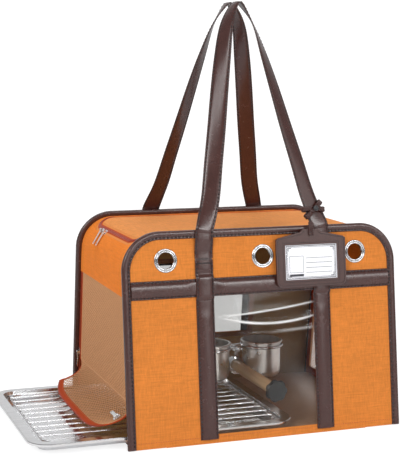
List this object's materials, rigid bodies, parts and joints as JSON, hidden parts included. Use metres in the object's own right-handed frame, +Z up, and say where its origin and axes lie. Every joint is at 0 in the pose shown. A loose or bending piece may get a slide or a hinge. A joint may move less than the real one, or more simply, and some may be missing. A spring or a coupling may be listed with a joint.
{
  "type": "bird travel carrier",
  "caption": "Soft-sided bird travel bag with leather trim, mesh sides, a zipped lid, an unzipped side flap, a slide-out tray with a wire rack, a perch and hung cups.",
  "frame": {"origin": "middle of the bag's flat base, at floor level; the tray is drawn partly out at the -X end", "axes": "+X to the right along the bag, +Y from the front panel to the back panel, +Z up"},
  "size_m": [0.553, 0.3258, 0.6226],
  "materials": {
    "canvas": "woven",
    "side_canvas": "woven",
    "lid_canvas": "woven",
    "strap_leather": "grained",
    "tag_leather": "grained",
    "zip_tape": "ribbed",
    "mesh_cloth": "open mesh",
    "lining": "woven",
    "window_film": "clear",
    "steel": "polished",
    "wood": "satin",
    "black_plastic": "matte",
    "card": "plain"
  },
  "bodies": {
    "bag": {"front_panel": "canvas", "back_panel": "canvas", "front_lining": "lining", "back_lining": "lining", "front_window": "window_film", "back_window": "window_film", "front_binding": "strap_leather", "back_binding": "strap_leather", "front_band": "strap_leather", "back_band": "strap_leather", "front_strap_left": "strap_leather", "front_strap_right": "strap_leather", "back_strap_left": "strap_leather", "back_strap_right": "strap_leather", "front_eyelets": "steel", "back_eyelets": "steel", "gusset": "side_canvas", "lid_frame_tape": "zip_tape", "base_skin": "canvas", "base_board": "lining", "left_mesh": "mesh_cloth", "left_zip_tape": "zip_tape", "right_zip_tape": "zip_tape", "perch_socket": "steel", "perch_dowel": "wood"},
    "lid": {"lid_panel": "lid_canvas", "lid_tape": "zip_tape"},
    "rear_lid_slider": {"lid_slider_rear": "steel"},
    "rear_lid_pull": {"lid_pull_rear": "steel"},
    "front_lid_slider": {"lid_slider_front": "steel"},
    "front_lid_pull": {"lid_pull_front": "steel"},
    "flap": {"left_flap_mesh": "mesh_cloth", "left_flap_tape": "zip_tape", "flap_slider": "steel"},
    "flap_zip_pull": {"flap_pull": "steel"},
    "left_side_slider": {"left_slider": "steel"},
    "left_side_pull": {"left_pull": "steel"},
    "right_door": {"right_door_mesh": "mesh_cloth", "right_door_tape": "zip_tape"},
    "right_side_slider": {"right_slider": "steel"},
    "right_side_pull": {"right_pull": "steel"},
    "tray_and_rack": {"tray": "steel", "rack_frame": "steel", "rack_bars": "steel"},
    "holder": {"cup_holder": "steel"},
    "holder_nut": {"wing_nut": "steel"},
    "left_cup": {"cup_left": "steel"},
    "right_cup": {"cup_right": "steel"},
    "knob": {"perch_knob": "black_plastic"},
    "handle_front": {"front_handle": "strap_leather", "tag_loop": "strap_leather", "tag_snap": "black_plastic"},
    "handle_back": {"back_handle": "strap_leather"},
    "tag_hanger": {"tag_tail": "strap_leather"},
    "name_tag": {"tag_back": "tag_leather", "tag_front": "tag_leather", "tag_card": "card", "tag_film": "window_film"}
  },
  "joints": [
    {"name": "lid_hinge", "type": "hinge", "parent": "bag", "child": "lid", "pos_m": [0, 0.1076, 0.291], "axis": [-1, 0, 0], "range_deg": [0, 70]},
    {"name": "rear_lid_slider_slide", "type": "slide", "parent": "bag", "child": "rear_lid_slider", "axis": [0, 1, 0], "range_m": [0, 0.02]},
    {"name": "rear_lid_pull_hinge", "type": "hinge", "parent": "rear_lid_slider", "child": "rear_lid_pull", "pos_m": [-0.18977, 0.052, 0.28092], "axis": [0, 1, 0], "range_deg": [0, 150]},
    {"name": "front_lid_slider_slide", "type": "slide", "parent": "bag", "child": "front_lid_slider", "axis": [0, -1, 0], "range_m": [0, 0.105]},
    {"name": "front_lid_pull_hinge", "type": "hinge", "parent": "front_lid_slider", "child": "front_lid_pull", "pos_m": [-0.18977, 0.035, 0.28092], "axis": [0, 1, 0], "range_deg": [0, 150]},
    {"name": "flap_hinge", "type": "hinge", "parent": "bag", "child": "flap", "pos_m": [-0.2015, 0, 0.062], "axis": [0, 1, 0], "range_deg": [0, 70]},
    {"name": "flap_pull_hinge", "type": "hinge", "parent": "flap", "child": "flap_zip_pull", "pos_m": [-0.21649, -0.12116, 0.04128], "axis": [0.8637, 0, 0.5041], "range_deg": [0, 150]},
    {"name": "left_slider_slide", "type": "slide", "parent": "bag", "child": "left_side_slider", "axis": [0, -0.1257, 0.9921], "range_m": [0, 0.12]},
    {"name": "left_pull_hinge", "type": "hinge", "parent": "left_side_slider", "child": "left_side_pull", "pos_m": [-0.2054, 0.14139, 0.074], "axis": [0, 0.9921, 0.1257], "range_deg": [0, 150]},
    {"name": "right_door_hinge", "type": "hinge", "parent": "bag", "child": "right_door", "pos_m": [0.201, 0, 0.2049], "axis": [0, -1, 0], "range_deg": [0, 110]},
    {"name": "right_slider_slide", "type": "slide", "parent": "right_door", "child": "right_side_slider", "axis": [0, 0.1257, -0.9921], "range_m": [0, 0.15]},
    {"name": "right_pull_hinge", "type": "hinge", "parent": "right_side_slider", "child": "right_side_pull", "pos_m": [0.2054, 0.1272, 0.186], "axis": [0, -0.9921, -0.1257], "range_deg": [0, 150]},
    {"name": "tray_slide", "type": "slide", "parent": "bag", "child": "tray_and_rack", "axis": [1, 0, 0], "range_m": [-0.22, 0.147]},
    {"name": "holder_slide", "type": "slide", "parent": "bag", "child": "holder", "axis": [0, 1, 0], "range_m": [-0.07, 0.06]},
    {"name": "nut_turn", "type": "hinge", "parent": "holder", "child": "holder_nut", "pos_m": [0.022, 0.0273, 0.087], "axis": [0, 1, 0], "range_deg": [-180, 180]},
    {"name": "left_cup_lift", "type": "slide", "parent": "holder", "child": "left_cup", "axis": [0, 0, 1], "range_m": [0, 0.09]},
    {"name": "right_cup_lift", "type": "slide", "parent": "holder", "child": "right_cup", "axis": [0, 0, 1], "range_m": [0, 0.09]},
    {"name": "knob_turn", "type": "hinge", "parent": "bag", "child": "knob", "pos_m": [0.022, -0.13, 0.06], "axis": [0, 1, 0], "range_deg": [-180, 180]},
    {"name": "front_handle_swing", "type": "hinge", "parent": "bag", "child": "handle_front", "pos_m": [0, -0.12957, 0.26011], "axis": [1, 0, 0], "range_deg": [0, 110]},
    {"name": "back_handle_swing", "type": "hinge", "parent": "bag", "child": "handle_back", "pos_m": [0, 0.12957, 0.26011], "axis": [-1, 0, 0], "range_deg": [0, 110]},
    {"name": "tag_hang", "type": "hinge", "parent": "handle_front", "child": "tag_hanger", "pos_m": [0.072, -0.13323, 0.30594], "axis": [1, 0, 0], "range_deg": [-110, 0]},
    {"name": "tag_sway", "type": "hinge", "parent": "tag_hanger", "child": "name_tag", "pos_m": [0.072, -0.13237, 0.2897], "axis": [0, -0.9921, 0.1257], "range_deg": [-15, 15]}
  ],
  "couplings": [
    {"joint": "tag_hang", "follows": "front_handle_swing", "ratio": -1}
  ]
}
